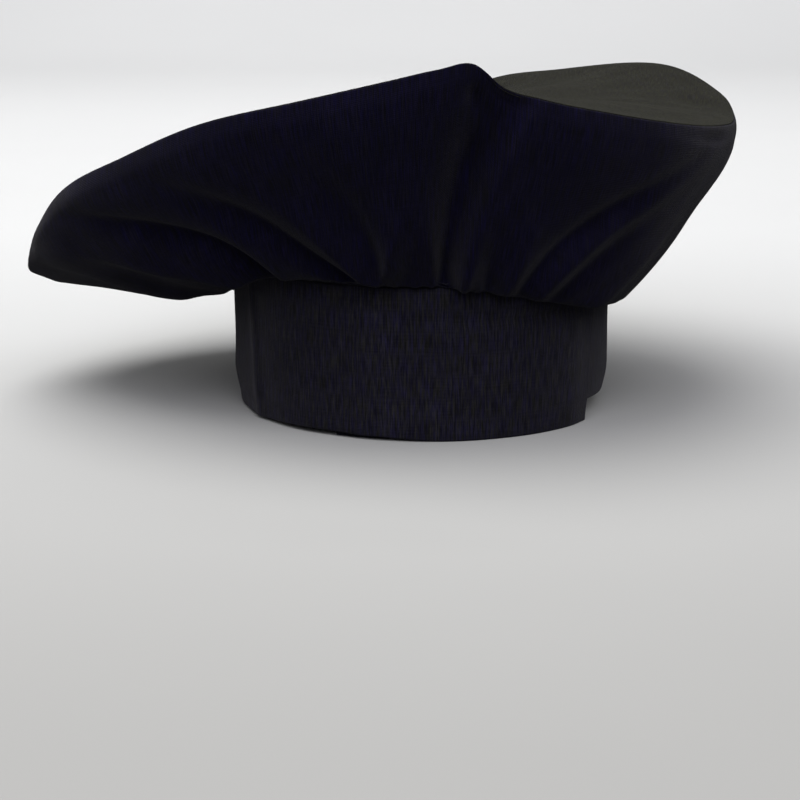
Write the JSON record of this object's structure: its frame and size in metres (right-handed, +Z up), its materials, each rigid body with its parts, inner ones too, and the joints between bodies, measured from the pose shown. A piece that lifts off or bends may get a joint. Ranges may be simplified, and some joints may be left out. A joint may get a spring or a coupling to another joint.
{
  "type": "mushroom chef hat",
  "caption": "Floppy cloth chef hat: a wide two-panel crown gathered onto a plain overlapped head band, high at the back right and drooping at the left.",
  "frame": {"origin": "middle of the hat's outline in plan, on the surface that the band's rim rests on", "axes": "+Z up through the crown, +Y the way the wearer faces, +X the wearer's right, where the crown is high; the band's overlap is at -Y"},
  "size_m": [0.3094, 0.3032, 0.1604],
  "materials": {
    "band_cloth": "matte plain-weave cotton blend, pressed flat",
    "crown_cloth": "matte plain-weave cotton blend, soft and creased",
    "hook_and_loop": "matte napped tape"
  },
  "bodies": {
    "root": {"band": "band_cloth", "closure_patch": "hook_and_loop", "crown_side": "crown_cloth", "crown_top": "crown_cloth"}
  },
  "joints": []
}
